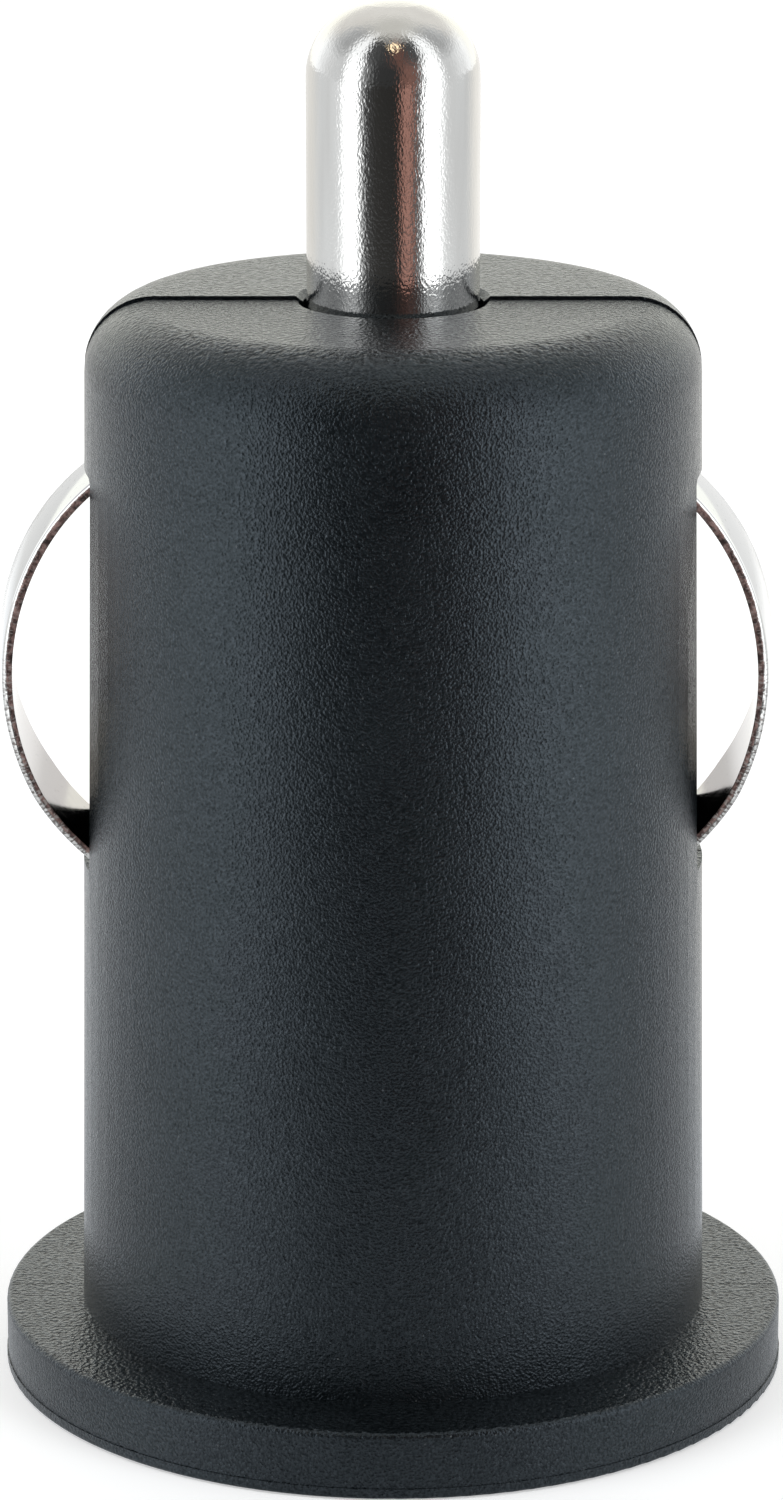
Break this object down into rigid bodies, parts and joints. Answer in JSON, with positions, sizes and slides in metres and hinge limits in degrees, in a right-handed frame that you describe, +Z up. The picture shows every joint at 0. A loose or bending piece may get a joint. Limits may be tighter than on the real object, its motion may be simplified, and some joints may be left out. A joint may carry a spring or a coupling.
{
  "type": "car usb charger plug",
  "caption": "Small 12 V car charger plug: split tapered barrel on a round flange, sprung domed centre contact, side bow springs and a USB-A port in the flat end face.",
  "frame": {"origin": "centre of the outside of the face plate, which the plug stands on", "axes": "+Z up the plug's axis to the domed contact, +X towards the right bow spring, -Y towards the front half shell; the shells' seam is y = 0"},
  "size_m": [0.0254, 0.0254, 0.0446],
  "materials": {
    "barrel_plastic": "fine spark-eroded grain, satin black",
    "plate_plastic": "fine spark-eroded grain, satin black",
    "nickel": "polished nickel plate",
    "nickel_strip": "bright nickel-plated spring strip with sheared edges",
    "spring_steel": "drawn wire",
    "tinned_metal": "dull tin plate",
    "board_laminate": "green solder mask on glass laminate",
    "usb_steel": "nickel-plated stamped steel",
    "usb_plastic": "white moulded insulator",
    "contact_gold": "gold flash on brass",
    "chip_mould": "black moulding compound",
    "ferrite": "dark grey sintered ferrite",
    "copper": "enamelled copper wire",
    "can_aluminium": "drawn aluminium can",
    "bung_rubber": "black rubber",
    "resistor_ceramic": "glazed chip",
    "capacitor_ceramic": "tan ceramic chip"
  },
  "bodies": {
    "charger": {"front_shell": "barrel_plastic", "rear_shell": "barrel_plastic", "face_plate": "plate_plastic", "contact_spring": "spring_steel", "tip_terminal": "tinned_metal", "circuit_board": "board_laminate", "usb_shell": "usb_steel", "usb_insulator": "usb_plastic", "usb_contact_1": "contact_gold", "usb_contact_2": "contact_gold", "usb_contact_3": "contact_gold", "usb_contact_4": "contact_gold", "input_capacitor": "can_aluminium", "output_capacitor": "can_aluminium", "input_capacitor_bung": "bung_rubber", "output_capacitor_bung": "bung_rubber", "capacitor_leads": "tinned_metal", "inductor_core": "ferrite", "inductor_winding": "copper", "controller_chip": "chip_mould", "controller_leads": "tinned_metal", "rectifier_diode": "chip_mould", "chip_resistors": "resistor_ceramic", "chip_capacitors": "capacitor_ceramic"},
    "centre_contact": {"contact_pin": "nickel"},
    "left_bow": {"left_bow_spring": "nickel_strip"},
    "right_bow": {"right_bow_spring": "nickel_strip"}
  },
  "joints": [
    {"name": "contact_press", "type": "slide", "parent": "charger", "child": "centre_contact", "axis": [0, 0, -1], "range_m": [0, 0.003], "stiffness_N_per_m": 1850, "springref_m": -0.001, "deforming": ["contact_spring"]},
    {"name": "left_bow_press", "type": "slide", "parent": "charger", "child": "left_bow", "axis": [1, 0, 0], "range_m": [0, 0.00175], "stiffness_N_per_m": 2000},
    {"name": "right_bow_press", "type": "slide", "parent": "charger", "child": "right_bow", "axis": [-1, 0, 0], "range_m": [0, 0.00175], "stiffness_N_per_m": 2000}
  ]
}
